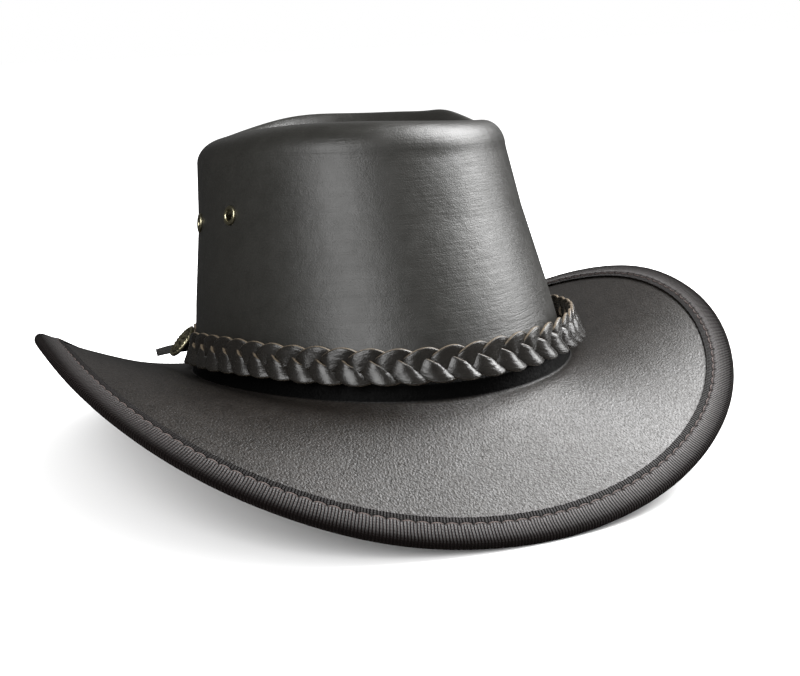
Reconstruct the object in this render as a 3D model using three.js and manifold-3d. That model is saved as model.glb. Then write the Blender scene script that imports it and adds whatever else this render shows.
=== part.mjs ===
// Outback style leather hat, resting on the front and back of its brim.
// Millimetres, +Z up, the front of the hat towards -Y, the wearer's left towards +X.
// Angles round the hat are turned from the front towards the wearer's left.
import * as THREE from 'three';
import { mergeVertices } from 'three/addons/utils/BufferGeometryUtils.js';
import Module from 'manifold-3d';

const wasm = await Module();
wasm.setup();

// Driving sizes
const HEAD_LENGTH = 201.4;        // crown foot, front to back, outside the leather
const HEAD_WIDTH = 172;           // crown foot, side to side, outside the leather
const FOOT_SADDLE = 2.8;          // how far the foot line is low at front and back, high at the sides
const LEATHER = 2.2;              // leather thickness of crown and brim
const GAP = 0.3;                  // clearance between neighbouring pieces
const BRIM_WIDTH = 75.3;          // from the foot line to the outside of the bound edge
const SHOULDER_LENGTH = 162;      // crown at the start of the shoulder, front to back
const SHOULDER_WIDTH = 143.5;
const SHOULDER_BACK = 16.2;       // how far the crown leans back at the shoulder
const RIDGE_HEIGHT = 114;         // ridge above the foot line, where its share is 1
const ROLL_INSET = 12.5;          // how far the rounded shoulder runs in to the ridge, where its share is 1
const ROLL_DROP = 12;             // height of that rounding
const WALL_SWELL = 0.6;           // how far the wall leaves the straight line from foot to shoulder
const SINK_DEPTH = 15;            // depth of the sunken top under the ridge
const SINK_REACH = 21;            // from the ridge in to the flat of the sunken top
const COLLAR_HEIGHT = 4.5;         // brim leather turned up round the crown foot
const BREAK_REACH = 4.5;          // length over which the brim bends out of its collar

const BINDING_WIDTH = 12.9;       // ribbon on the top of the brim
const BINDING_UNDER_WIDTH = 11;   // ribbon on the underside
const RIBBON = 0.8;               // ribbon thickness

const BRAID_HEIGHT = 13;          // braid centre above the foot line, where its share is 1
const BRAID_SLACK = 3;            // how loosely the braid lies round the crown, where its share is 1
const BRAID_LEAN = 14;            // how far the upturned brim tilts the braid at the sides, degrees
const BRAID_SWING = 5.4;          // how far a strand swings up and down
const BRAID_WEAVE = 2.6;          // how far a strand moves out and in
const STRAND_WIDTH = 4;
const STRAND_THICKNESS = 1.5;
const BRAID_PERIOD = 31;          // length in which a strand returns to the same edge
const STRAND_COUNT = 3;
const CONCHO_ANGLE = -104;        // where the concho covers the tie of the braid
const BRAID_START = 12;           // from the concho's centre forward to one end of the braid
const BRAID_END = 22;             // from the concho's centre back to the other end
const GATHER_LENGTH = 18;         // length over which the braid narrows to each end
const GATHER_SHARE = 0.8;         // the swing that is left at its ends

const CONCHO_DIAMETER = 16.5;
const CONCHO_THICKNESS = 3;
const CONCHO_TILT = 36;           // face turned up from the level, degrees
const CONCHO_STANDOFF = 5.8;      // back of the concho from the crown leather
const CONCHO_DROP = -0.9;         // concho centre under the middle of the braid
const LACE_REACH = 18;            // from the crown leather to the end of the lace's tail
const LACE_WIDTH = 4;
const LACE_THICKNESS = 1.8;

const EYELET_FLANGE = 9;          // outside diameter
const EYELET_BORE = 5;
const EYELET_TUBE = 6;
const EYELET_LIP = 0.7;           // how far the flange stands off the leather

const AROUND_STEPS = 60;          // facets round the hat
const SECTIONS_PER_PERIOD = 8;    // facets along one braid period
const REST_CUT = 1;               // the bound edge is pressed flat by this much where it rests

// Eight rows round the hat. Slopes are degrees above the level. The other columns are shares:
// ridge of RIDGE_HEIGHT, inset and drop of the shoulder's roll, braid of BRAID_HEIGHT and slack of
// BRAID_SLACK.
const AROUND = [
  { at: 0, footSlope: -36.6, edgeSlope: -42.0, ridge: 0.979, inset: 1.12, drop: 1.175, braid: 0.98, slack: 0.8 },
  { at: 45, footSlope: -4.5, edgeSlope: -24.6, ridge: 0.967, inset: 0.86, drop: 1.08, braid: 1.05, slack: 1.05 },
  { at: 90, footSlope: 21.1, edgeSlope: 17.7, ridge: 0.997, inset: 0.68, drop: 0.95, braid: 1.08, slack: 1.05 },
  { at: 135, footSlope: -4.7, edgeSlope: 13.4, ridge: 1.066, inset: 0.70, drop: 0.86, braid: 0.98, slack: 0.5 },
  { at: 180, footSlope: -15.3, edgeSlope: -15.5, ridge: 1.066, inset: 0.90, drop: 0.85, braid: 0.92, slack: 0.2 },
  { at: 225, footSlope: -4.7, edgeSlope: 13.4, ridge: 0.994, inset: 1.16, drop: 0.94, braid: 0.88, slack: 0.3 },
  { at: 270, footSlope: 21.1, edgeSlope: 17.7, ridge: 0.982, inset: 1.34, drop: 1.075, braid: 1.07, slack: 0.5 },
  { at: 315, footSlope: -4.5, edgeSlope: -24.6, ridge: 0.997, inset: 1.32, drop: 1.165, braid: 1.05, slack: 0.65 },
];

// Local rises and dents of the ridge, as shares of RIDGE_HEIGHT. Spread is in degrees.
const RIDGE_DENTS = [
  { at: 149, spread: 27, rise: -0.026 },
  { at: 107, spread: 9, rise: 0.014 },
  { at: 79, spread: 13, rise: -0.026 },
];

// Crown wall between foot and shoulder: share of its height, and share of WALL_SWELL.
const WALL_ROWS = [
  { share: 0.35, swell: 0.33 },
  { share: 0.72, swell: -0.83 },
  { share: 1, swell: 1 },
];

// The sunken top: share of SINK_REACH in from the ridge, and share of the sink depth.
const SINK_ROWS = [
  { inward: 0.19, share: 0.1 },
  { inward: 0.43, share: 0.55 },
  { inward: 0.67, share: 0.88 },
  { inward: 1, share: 1 },
];
const SINK_CENTRE_SHARE = 0.4;    // one more ring on the floor of the sunken top

// The tie lace, from the concho's centre: along the wall forwards, up it and out of it, as shares of
// LACE_REACH.
const LACE_ROWS = [
  { along: 0.46, up: 0, out: 0.16 },
  { along: -0.04, up: 0, out: 0.13 },
  { along: -0.42, up: -0.1, out: 0.24 },
  { along: -0.62, up: -0.18, out: 0.63 },
  { along: -0.8, up: -0.3, out: 1 },
];

const EYELETS = [
  { name: 'eyelet_right_front', at: -72, share: 0.76 },
  { name: 'eyelet_right_rear', at: -98, share: 0.725 },
  { name: 'eyelet_left_front', at: 72, share: 0.76 },
  { name: 'eyelet_left_rear', at: 98, share: 0.725 },
];

const UP = new THREE.Vector3(0, 0, 1);
const radians = THREE.MathUtils.degToRad;
const fullTurn = 2 * Math.PI;

// Smooth closed curve through the eight values of one column.
function around(column) {
  const count = AROUND.length;
  const waves = [];
  for (let order = 0; order <= count / 2; order += 1) {
    const half = order === 0 || order === count / 2;
    let cosine = 0;
    let sine = 0;
    for (const row of AROUND) {
      cosine += row[column] * Math.cos(order * radians(row.at));
      sine += row[column] * Math.sin(order * radians(row.at));
    }
    waves.push({ order, cosine: cosine * (half ? 1 : 2) / count, sine: half ? 0 : sine * 2 / count });
  }
  return (angle) => waves.reduce(
    (sum, wave) => sum + wave.cosine * Math.cos(wave.order * angle) + wave.sine * Math.sin(wave.order * angle),
    0,
  );
}

const footSlope = around('footSlope');
const edgeSlope = around('edgeSlope');
const ridgeShare = around('ridge');
const insetShare = around('inset');
const dropShare = around('drop');
const braidShare = around('braid');
const slackShare = around('slack');

// Level direction out of an oval at an angle.
function ovalNormal(angle, length, width) {
  return new THREE.Vector3(Math.sin(angle) / width, -Math.cos(angle) / length, 0).normalize();
}

function footPoint(angle) {
  return new THREE.Vector3(
    HEAD_WIDTH / 2 * Math.sin(angle),
    -HEAD_LENGTH / 2 * Math.cos(angle),
    -FOOT_SADDLE * Math.cos(2 * angle),
  );
}

function ridgeTop(angle) {
  let share = ridgeShare(angle);
  for (const dent of RIDGE_DENTS) {
    const away = THREE.MathUtils.euclideanModulo(angle - radians(dent.at) + Math.PI, fullTurn) - Math.PI;
    share += dent.rise * Math.exp(-((away / radians(dent.spread)) ** 2));
  }
  return share * RIDGE_HEIGHT;
}

function shoulderPoint(angle) {
  return new THREE.Vector3(
    SHOULDER_WIDTH / 2 * Math.sin(angle),
    SHOULDER_BACK - SHOULDER_LENGTH / 2 * Math.cos(angle),
    ridgeTop(angle) - ROLL_DROP * dropShare(angle),
  );
}

// A closed body from corner points and triangles, with its faces turned outwards.
function solidGeometry(points, triangles) {
  let volume = 0;
  for (const [a, b, c] of triangles) {
    volume += points[a].dot(new THREE.Vector3().crossVectors(points[b], points[c]));
  }
  const index = triangles.flatMap(([a, b, c]) => (volume > 0 ? [a, b, c] : [a, c, b]));
  const geometry = new THREE.BufferGeometry();
  geometry.setAttribute('position', new THREE.Float32BufferAttribute(points.flatMap((p) => p.toArray()), 3));
  geometry.setIndex(index);
  return geometry;
}

function joinLoops(triangles, from, to, count) {
  for (let k = 0; k < count; k += 1) {
    const next = (k + 1) % count;
    triangles.push([from + k, from + next, to + next]);
    triangles.push([from + k, to + next, to + k]);
  }
}

// Equal loops of points, each joined to the next: a ring when closed, else a bar with two ends.
function sweptSolid(loops, closed) {
  const size = loops[0].length;
  const triangles = [];
  const last = loops.length - 1;
  for (let k = 0; k < last; k += 1) {
    joinLoops(triangles, k * size, (k + 1) * size, size);
  }
  if (closed) {
    joinLoops(triangles, last * size, 0, size);
  } else {
    for (let k = 1; k < size - 1; k += 1) {
      triangles.push([0, k + 1, k]);
      triangles.push([last * size, last * size + k, last * size + k + 1]);
    }
  }
  return solidGeometry(loops.flat(), triangles);
}

// Nested rings closed by a point at each end.
function domeSolid(rings, firstPole, lastPole) {
  const size = rings[0].length;
  const triangles = [];
  for (let k = 0; k < rings.length - 1; k += 1) {
    joinLoops(triangles, k * size, (k + 1) * size, size);
  }
  const points = [...rings.flat(), firstPole, lastPole];
  const start = (rings.length - 1) * size;
  for (let k = 0; k < size; k += 1) {
    const next = (k + 1) % size;
    triangles.push([next, k, points.length - 2]);
    triangles.push([start + k, start + next, points.length - 1]);
  }
  return solidGeometry(points, triangles);
}

function toManifold(geometry) {
  const bare = geometry.clone();
  bare.deleteAttribute('normal');
  bare.deleteAttribute('uv');
  const merged = mergeVertices(bare, 1e-4);
  return new wasm.Manifold(new wasm.Mesh({
    numProp: 3,
    vertProperties: Float32Array.from(merged.getAttribute('position').array),
    triVerts: Uint32Array.from(merged.getIndex().array),
  }));
}

function cutAway(body, tools) {
  let solid = toManifold(body);
  for (const tool of tools) {
    solid = solid.subtract(toManifold(tool));
  }
  const mesh = solid.getMesh();
  const geometry = new THREE.BufferGeometry();
  geometry.setAttribute('position', new THREE.BufferAttribute(Float32Array.from(mesh.vertProperties), 3));
  geometry.setIndex(Array.from(mesh.triVerts));
  return geometry;
}

function piece(name, geometry, color, roughness, metalness) {
  const mesh = new THREE.Mesh(geometry, new THREE.MeshStandardMaterial({ color, roughness, metalness }));
  mesh.name = name;
  return mesh;
}

const angles = Array.from({ length: AROUND_STEPS }, (_, k) => k * fullTurn / AROUND_STEPS);

// Crown: wall, rounded shoulder, ridge and sunken top, one skin of leather open at the foot
function wallDirection(angle) {
  return shoulderPoint(angle).sub(footPoint(angle)).normalize();
}

function wallPoint(angle, height) {
  return footPoint(angle).addScaledVector(wallDirection(angle), height);
}

function sinkFloor(y) {
  const front = ridgeTop(0) - SINK_DEPTH;
  const back = ridgeTop(Math.PI) - SINK_DEPTH;
  const share = (y - SHOULDER_BACK) / SHOULDER_LENGTH + 0.5;
  return THREE.MathUtils.lerp(front, back, share);
}

function crownRings() {
  const rings = [angles.map((angle) => wallPoint(angle, -LEATHER))];
  for (const row of WALL_ROWS) {
    rings.push(angles.map((angle) => footPoint(angle)
      .lerp(shoulderPoint(angle), row.share)
      .addScaledVector(ovalNormal(angle, SHOULDER_LENGTH, SHOULDER_WIDTH), row.swell * WALL_SWELL)));
  }
  const roundTo = (angle, turn) => shoulderPoint(angle)
    .addScaledVector(
      ovalNormal(angle, SHOULDER_LENGTH, SHOULDER_WIDTH),
      -ROLL_INSET * insetShare(angle) * (1 - Math.cos(turn)),
    )
    .addScaledVector(UP, ROLL_DROP * dropShare(angle) * Math.sin(turn));
  for (const turn of [30, 60, 90]) {
    rings.push(angles.map((angle) => roundTo(angle, radians(turn))));
  }
  for (const row of SINK_ROWS) {
    rings.push(angles.map((angle) => {
      const point = roundTo(angle, Math.PI / 2)
        .addScaledVector(ovalNormal(angle, SHOULDER_LENGTH, SHOULDER_WIDTH), -row.inward * SINK_REACH);
      point.z = THREE.MathUtils.lerp(point.z, sinkFloor(point.y), row.share);
      return point;
    }));
  }
  const centre = new THREE.Vector3(0, SHOULDER_BACK, 0);
  rings.push(rings[rings.length - 1].map((point) => {
    const inner = point.clone().lerp(centre, 1 - SINK_CENTRE_SHARE);
    inner.z = sinkFloor(inner.y);
    return inner;
  }));
  return rings;
}

// The same rings moved by a distance square to the surface they make.
function offsetRings(rings, distance) {
  return rings.map((ring, row) => ring.map((point, k) => {
    const below = rings[Math.max(row - 1, 0)][k];
    const above = rings[Math.min(row + 1, rings.length - 1)][k];
    const before = ring[(k + ring.length - 1) % ring.length];
    const after = ring[(k + 1) % ring.length];
    const rise = new THREE.Vector3().subVectors(above, below);
    const run = new THREE.Vector3().subVectors(after, before);
    return point.clone().addScaledVector(run.cross(rise).normalize(), distance);
  }));
}

// A frame on the crown wall: along the wall to the wearer's left, up the wall, and straight out.
function wallFrame(angle, height) {
  const step = 0.01;
  const up = wallDirection(angle);
  const along = wallPoint(angle + step, height).sub(wallPoint(angle - step, height)).normalize();
  const out = new THREE.Vector3().crossVectors(along, up).normalize();
  return { point: wallPoint(angle, height), along, up: new THREE.Vector3().crossVectors(out, along), out };
}

function frameMatrix({ point, along, up, out }) {
  // a lathe turns about its own Y, which is laid along the outward direction here
  return new THREE.Matrix4().makeBasis(along.clone().negate(), out, up).setPosition(point);
}

function eyeletFrame(eyelet) {
  const angle = radians(eyelet.at);
  const height = eyelet.share * footPoint(angle).distanceTo(shoulderPoint(angle));
  const frame = wallFrame(angle, height);
  frame.point.addScaledVector(frame.out, WALL_ROWS[1].swell * WALL_SWELL);
  return frame;
}

function makeCrown() {
  const outer = crownRings().reverse();
  const inner = offsetRings(crownRings(), -LEATHER);
  const pole = new THREE.Vector3(0, SHOULDER_BACK, sinkFloor(SHOULDER_BACK));
  const innerPole = pole.clone().addScaledVector(UP, -LEATHER);
  const shell = domeSolid([...outer, ...inner], pole, innerPole);
  const drills = EYELETS.map((eyelet) => new THREE.CylinderGeometry(
    EYELET_TUBE / 2 + GAP + 0.1, EYELET_TUBE / 2 + GAP + 0.1, 6 * LEATHER, 10,
  ).applyMatrix4(frameMatrix(eyeletFrame(eyelet))));
  return cutAway(shell, drills);
}

// Brim: a point at a distance out along its top surface and a height above it
function brimPoint(angle, distance, height) {
  const start = radians(footSlope(angle));
  const turn = (radians(edgeSlope(angle)) - start) / BRIM_WIDTH;
  const slope = start + turn * distance;
  let out = distance * Math.cos(start);
  let rise = distance * Math.sin(start);
  if (Math.abs(turn) > 1e-6) {
    out = (Math.sin(slope) - Math.sin(start)) / turn;
    rise = (Math.cos(start) - Math.cos(slope)) / turn;
  }
  return footPoint(angle)
    .addScaledVector(ovalNormal(angle, HEAD_LENGTH, HEAD_WIDTH), out - height * Math.sin(slope))
    .addScaledVector(UP, rise + height * Math.cos(slope));
}

const BRIM_LEATHER_EDGE = BRIM_WIDTH - RIBBON - 2 * GAP;
const BINDING_START = BRIM_WIDTH - BINDING_WIDTH;
const BRIM_OPEN_STEPS = 4;        // facets between the bend and the binding

// One side of the brim's section: down the collar, round the bend, out to the edge.
function brimSide(angle, height) {
  const collarOut = GAP + LEATHER + height;
  const normal = ovalNormal(angle, HEAD_LENGTH, HEAD_WIDTH);
  const collar = (up) => wallPoint(angle, up).addScaledVector(normal, collarOut);
  const bend = new THREE.QuadraticBezierCurve3(
    collar(BREAK_REACH - 1),
    brimPoint(angle, GAP + LEATHER, height),
    brimPoint(angle, BREAK_REACH, height),
  );
  const side = [collar(COLLAR_HEIGHT), ...[0, 0.33, 0.66, 1].map((t) => bend.getPoint(t))];
  for (let k = 1; k <= BRIM_OPEN_STEPS; k += 1) {
    side.push(brimPoint(angle, THREE.MathUtils.lerp(BREAK_REACH, BINDING_START, k / BRIM_OPEN_STEPS), height));
  }
  side.push(brimPoint(angle, BRIM_LEATHER_EDGE, height));
  return side;
}

function makeBrim() {
  return sweptSolid(angles.map((angle) => [...brimSide(angle, 0), ...brimSide(angle, -LEATHER).reverse()]), true);
}

// Binding: a ribbon folded over the edge of the brim
function makeBinding() {
  const inside = BRIM_WIDTH - RIBBON - GAP;
  const top = GAP;
  const bottom = -LEATHER - GAP;
  const section = [
    { distance: BINDING_START, height: top },
    { distance: inside, height: top },
    { distance: inside, height: bottom },
    { distance: BRIM_WIDTH - BINDING_UNDER_WIDTH, height: bottom },
    { distance: BRIM_WIDTH - BINDING_UNDER_WIDTH, height: bottom - RIBBON },
    { distance: BRIM_WIDTH - RIBBON, height: bottom - RIBBON },
    { distance: BRIM_WIDTH, height: bottom },
    { distance: BRIM_WIDTH, height: top },
    { distance: BRIM_WIDTH - RIBBON, height: top + RIBBON },
    { distance: BINDING_START, height: top + RIBBON },
  ];
  return sweptSolid(
    angles.map((angle) => section.map((corner) => brimPoint(angle, corner.distance, corner.height))),
    true,
  );
}

// Braid: three flat strands plaited round the crown, each passing over one and under one
const BRAID_STANDOFF = 2 * GAP + BRAID_WEAVE + STRAND_THICKNESS / 2;

// A frame on the braid's middle line. The upturned brim pushes its lower edge out at the sides.
function braidFrame(angle) {
  const frame = wallFrame(angle, BRAID_HEIGHT * braidShare(angle));
  frame.point.addScaledVector(frame.out, BRAID_STANDOFF + BRAID_SLACK * slackShare(angle));
  const lean = radians(BRAID_LEAN) * Math.sin(angle) ** 2;
  const tilt = new THREE.Quaternion().setFromAxisAngle(frame.along, -lean);
  frame.out.applyQuaternion(tilt);
  frame.up.applyQuaternion(tilt);
  return frame;
}

function braidCurve() {
  const steps = 720;
  const points = [];
  for (let k = 0; k <= steps; k += 1) {
    const angle = radians(CONCHO_ANGLE) + k * fullTurn / steps;
    points.push({ angle, point: braidFrame(angle).point, distance: 0 });
    if (k > 0) {
      points[k].distance = points[k - 1].distance + points[k].point.distanceTo(points[k - 1].point);
    }
  }
  return points;
}

const braidLine = braidCurve();
const braidLength = braidLine[braidLine.length - 1].distance;

function braidAngle(distance) {
  const after = Math.max(1, braidLine.findIndex((row) => row.distance >= distance));
  const from = braidLine[after - 1];
  const to = braidLine[after];
  return THREE.MathUtils.mapLinear(distance, from.distance, to.distance, from.angle, to.angle);
}

const braidPeriods = Math.round((braidLength - BRAID_START - BRAID_END) / BRAID_PERIOD);

function strandPoint(share, phase) {
  const distance = THREE.MathUtils.lerp(BRAID_START, braidLength - BRAID_END, share);
  const turn = share * braidPeriods * fullTurn + phase;
  const toEnd = Math.min(distance - BRAID_START, braidLength - BRAID_END - distance);
  const gather = THREE.MathUtils.lerp(GATHER_SHARE, 1, THREE.MathUtils.smoothstep(toEnd, 0, GATHER_LENGTH));
  const frame = braidFrame(braidAngle(distance));
  return {
    out: frame.out,
    point: frame.point
      .addScaledVector(frame.up, gather * BRAID_SWING * Math.cos(turn))
      .addScaledVector(frame.out, -BRAID_WEAVE * Math.sin(2 * turn)),
  };
}

function makeStrand(index) {
  const phase = index * fullTurn / STRAND_COUNT;
  const count = braidPeriods * SECTIONS_PER_PERIOD;
  const loops = [];
  for (let k = 0; k <= count; k += 1) {
    const { point, out } = strandPoint(k / count, phase);
    const before = strandPoint(Math.max(k - 0.5, 0) / count, phase).point;
    const after = strandPoint(Math.min(k + 0.5, count) / count, phase).point;
    const along = after.sub(before).normalize();
    const across = new THREE.Vector3().crossVectors(out, along).normalize();
    const face = new THREE.Vector3().crossVectors(along, across);
    loops.push([[-1, -1], [1, -1], [1, 1], [-1, 1]].map(([side, layer]) => point.clone()
      .addScaledVector(across, side * STRAND_WIDTH / 2)
      .addScaledVector(face, layer * STRAND_THICKNESS / 2)));
  }
  return sweptSolid(loops, false);
}

// Concho: a domed disc with a rolled rim and a short post behind, over the tie of the braid
function conchoFrame() {
  const angle = radians(CONCHO_ANGLE);
  const frame = wallFrame(angle, BRAID_HEIGHT * braidShare(angle) - CONCHO_DROP);
  frame.point.addScaledVector(frame.out, CONCHO_STANDOFF);
  const tilt = new THREE.Quaternion().setFromAxisAngle(frame.along, radians(-CONCHO_TILT));
  frame.out.applyQuaternion(tilt);
  frame.up.applyQuaternion(tilt);
  return frame;
}

function makeConcho() {
  const radius = CONCHO_DIAMETER / 2;
  const profile = [
    { share: 0, height: -0.27 },
    { share: 0.25, height: -0.27 },
    { share: 0.25, height: 0 },
    { share: 0.92, height: 0 },
    { share: 1, height: 0.35 },
    { share: 0.94, height: 0.62 },
    { share: 0.8, height: 0.52 },
    { share: 0.45, height: 0.8 },
    { share: 0, height: 1 },
  ];
  const lathe = new THREE.LatheGeometry(
    profile.map((row) => new THREE.Vector2(row.share * radius, row.height * CONCHO_THICKNESS)), 20,
  );
  return lathe.applyMatrix4(frameMatrix(conchoFrame()));
}

// Tie lace: behind the concho from one end of the braid to the other, its tail hanging free
function makeLace() {
  const angle = radians(CONCHO_ANGLE);
  const frame = wallFrame(angle, BRAID_HEIGHT * braidShare(angle));
  const path = new THREE.CatmullRomCurve3(LACE_ROWS.map((row) => frame.point.clone()
    .addScaledVector(frame.along, row.along * LACE_REACH)
    .addScaledVector(frame.up, row.up * LACE_REACH)
    .addScaledVector(frame.out, row.out * LACE_REACH)));
  const steps = 14;
  const loops = [];
  for (let k = 0; k <= steps; k += 1) {
    const along = path.getTangentAt(k / steps);
    const face = new THREE.Vector3().crossVectors(along, frame.up).normalize();
    const across = new THREE.Vector3().crossVectors(face, along);
    loops.push([[-1, -1], [1, -1], [1, 1], [-1, 1]].map(([side, layer]) => path.getPointAt(k / steps)
      .addScaledVector(across, side * LACE_WIDTH / 2)
      .addScaledVector(face, layer * LACE_THICKNESS / 2)));
  }
  return sweptSolid(loops, false);
}

// Eyelet: a flanged tube through the crown wall
function makeEyelet(eyelet) {
  const profile = [
    new THREE.Vector2(EYELET_BORE / 2, -LEATHER - EYELET_LIP),
    new THREE.Vector2(EYELET_TUBE / 2, -LEATHER - EYELET_LIP),
    new THREE.Vector2(EYELET_TUBE / 2, GAP),
    new THREE.Vector2(EYELET_FLANGE / 2, GAP),
    new THREE.Vector2(EYELET_FLANGE / 2, GAP + EYELET_LIP / 2),
    new THREE.Vector2((EYELET_FLANGE + EYELET_TUBE) / 4, GAP + EYELET_LIP),
    new THREE.Vector2(EYELET_BORE / 2, GAP + EYELET_LIP / 2),
    new THREE.Vector2(EYELET_BORE / 2, -LEATHER - EYELET_LIP),
  ];
  return new THREE.LatheGeometry(profile, 12).applyMatrix4(frameMatrix(eyeletFrame(eyelet)));
}

// Resting pose: pitched until the front and the back of the brim both touch the floor
const frontTip = brimPoint(0, BRIM_WIDTH, 0);
const backTip = brimPoint(Math.PI, BRIM_WIDTH, 0);
const restPitch = Math.atan2(backTip.z - frontTip.z, backTip.y - frontTip.y);

const hat = new THREE.Group();
hat.rotation.x = -restPitch;

const binding = piece('brim_binding', makeBinding(), 0x46393a, 0.9, 0);
hat.add(binding);
hat.add(piece('crown', makeCrown(), 0x3d3c39, 0.5, 0));
hat.add(piece('brim', makeBrim(), 0x464340, 0.55, 0));
for (let index = 0; index < STRAND_COUNT; index += 1) {
  hat.add(piece(`braid_strand_${index + 1}`, makeStrand(index), 0x2e2c2a, 0.45, 0));
}
hat.add(piece('concho', makeConcho(), 0x9c8f68, 0.4, 1));
hat.add(piece('tie_lace', makeLace(), 0x1f1d1c, 0.5, 0));
for (const eyelet of EYELETS) {
  hat.add(piece(eyelet.name, makeEyelet(eyelet), 0x8d8264, 0.35, 1));
}

hat.updateMatrixWorld(true);
const box = new THREE.Box3().setFromObject(hat, true);
hat.position.set(-(box.min.x + box.max.x) / 2, -(box.min.y + box.max.y) / 2, -box.min.z - REST_CUT);
hat.updateMatrixWorld(true);

const floorBlock = new THREE.BoxGeometry(2 * HEAD_LENGTH + 200, 2 * HEAD_LENGTH + 200, 20)
  .applyMatrix4(new THREE.Matrix4().makeTranslation(0, 0, -10))
  .applyMatrix4(hat.matrixWorld.clone().invert());
binding.geometry = cutAway(binding.geometry, [floorBlock]);

export default hat;
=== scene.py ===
"""A leather outback hat with a bound brim and a plaited band, dressed on its CAD solids."""

import math

import bmesh
import bpy
import numpy as np
from bpy.props import FloatProperty, FloatVectorProperty, PointerProperty
from mathutils import Matrix, Vector


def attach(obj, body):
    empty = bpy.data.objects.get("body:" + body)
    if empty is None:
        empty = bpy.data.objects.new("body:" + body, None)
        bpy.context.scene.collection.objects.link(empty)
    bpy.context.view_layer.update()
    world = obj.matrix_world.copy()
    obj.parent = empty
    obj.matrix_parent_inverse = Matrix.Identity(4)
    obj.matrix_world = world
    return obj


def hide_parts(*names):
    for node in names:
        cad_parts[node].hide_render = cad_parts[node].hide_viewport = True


bl_info = {
    "name": "Leather Hat",
    "version": (1, 0, 0),
    "blender": (4, 5, 0),
    "location": "View3D > Sidebar > Hat",
    "description": "Builds the leather hat with its bound brim, plaited band, concho and eyelets",
    "category": "Object",
}

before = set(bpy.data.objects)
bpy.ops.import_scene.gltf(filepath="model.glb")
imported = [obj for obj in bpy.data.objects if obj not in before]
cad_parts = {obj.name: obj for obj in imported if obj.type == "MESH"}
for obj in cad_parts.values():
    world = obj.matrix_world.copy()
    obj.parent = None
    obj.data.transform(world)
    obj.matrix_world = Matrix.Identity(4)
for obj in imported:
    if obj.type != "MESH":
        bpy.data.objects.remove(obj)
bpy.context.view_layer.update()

BODY = "root"

# Eight places round the hat, from the front towards the wearer's left. Slopes are degrees above
# the level. The other rows are shares: ridge of RIDGE_HEIGHT, inset and drop of the shoulder's
# roll, braid of BRAID_HEIGHT and slack of BRAID_SLACK.
AROUND = {
    "at": (0, 45, 90, 135, 180, 225, 270, 315),
    "foot_slope": (-36.6, -4.5, 21.1, -4.7, -15.3, -4.7, 21.1, -4.5),
    "edge_slope": (-42.0, -24.6, 17.7, 13.4, -15.5, 13.4, 17.7, -24.6),
    "ridge": (0.979, 0.967, 0.997, 1.066, 1.066, 0.994, 0.982, 0.997),
    "inset": (1.12, 0.86, 0.68, 0.7, 0.9, 1.16, 1.34, 1.32),
    "drop": (1.175, 1.08, 0.95, 0.86, 0.85, 0.94, 1.075, 1.165),
    "braid": (0.98, 1.05, 0.92, 0.86, 0.92, 0.88, 1.07, 1.05),
    "slack": (0.8, 1.05, 0.15, -0.1, 0.2, 0.3, 0.5, 0.65),
}

# Local rises and dents of the ridge, as shares of RIDGE_HEIGHT. Spread is in degrees.
RIDGE_DENTS = [
    {"at": 149, "spread": 27, "rise": -0.026},
    {"at": 107, "spread": 9, "rise": 0.014},
    {"at": 79, "spread": 13, "rise": -0.026},
]

# Crown wall: share of its height, and share of WALL_SWELL.
WALL_ROWS = [
    {"share": 0.0, "swell": 0.0},
    {"share": 0.35, "swell": 0.33},
    {"share": 0.72, "swell": -0.83},
    {"share": 1.0, "swell": 1.0},
]

EYELETS = [
    {"name": "eyelet_right_front", "at": -72, "share": 0.76},
    {"name": "eyelet_right_rear", "at": -98, "share": 0.725},
    {"name": "eyelet_left_front", "at": 72, "share": 0.76},
    {"name": "eyelet_left_rear", "at": 98, "share": 0.725},
]

# The tie lace, from the concho's centre: along the wall forwards, up it and out of it, as shares
# of LACE_REACH.
LACE_ROWS = [
    {"along": 0.46, "up": 0.0, "out": 0.16},
    {"along": -0.04, "up": 0.0, "out": 0.13},
    {"along": -0.42, "up": -0.1, "out": 0.24},
    {"along": -0.62, "up": -0.18, "out": 0.63},
    {"along": -0.8, "up": -0.3, "out": 1.0},
]

FOOT_SADDLE = 0.0028
SHOULDER_LENGTH = 0.162
SHOULDER_WIDTH = 0.1435
SHOULDER_BACK = 0.0162
RIDGE_HEIGHT = 0.114
ROLL_INSET = 0.0125
ROLL_DROP = 0.012
WALL_SWELL = 0.0006
SINK_DEPTH = 0.015
SINK_REACH = 0.021
COLLAR_HEIGHT = 0.0075
COLLAR_OUT = 0.0012
BREAK_REACH = 0.0012
BRIM_ROWS = 56
COLLAR_END = 4 / BRIM_ROWS
BEND_END = 10 / BRIM_ROWS
GAP = 0.0003
RIBBON = 0.0008
BINDING_UNDER_WIDTH = 0.011
BRIM_WAVE = 0.00045
REST_SHIFT = (0.0, -0.00407, 0.03892)
BRAID_HEIGHT = 0.013
BRAID_STANDOFF = 0.00395
BRAID_SLACK = 0.003
BRAID_LEAN = 14
BRAID_START = 0.012
BRAID_END = 0.022
GATHER_LENGTH = 0.018
GATHER_SHARE = 0.8
CONCHO_ANGLE = -104
CONCHO_DROP = -0.0009
CONCHO_STANDOFF = 0.0058
CONCHO_TILT = 36
CONCHO_SWING = 10
LACE_REACH = 0.018
LACE_WIDTH = 0.004
LACE_THICKNESS = 0.0018

WRINKLE_ANGLE = 26
WRINKLE_HEIGHT = 0.026
WRINKLE_REACH = 0.030
THREAD_PITCH = 0.00075

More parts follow.
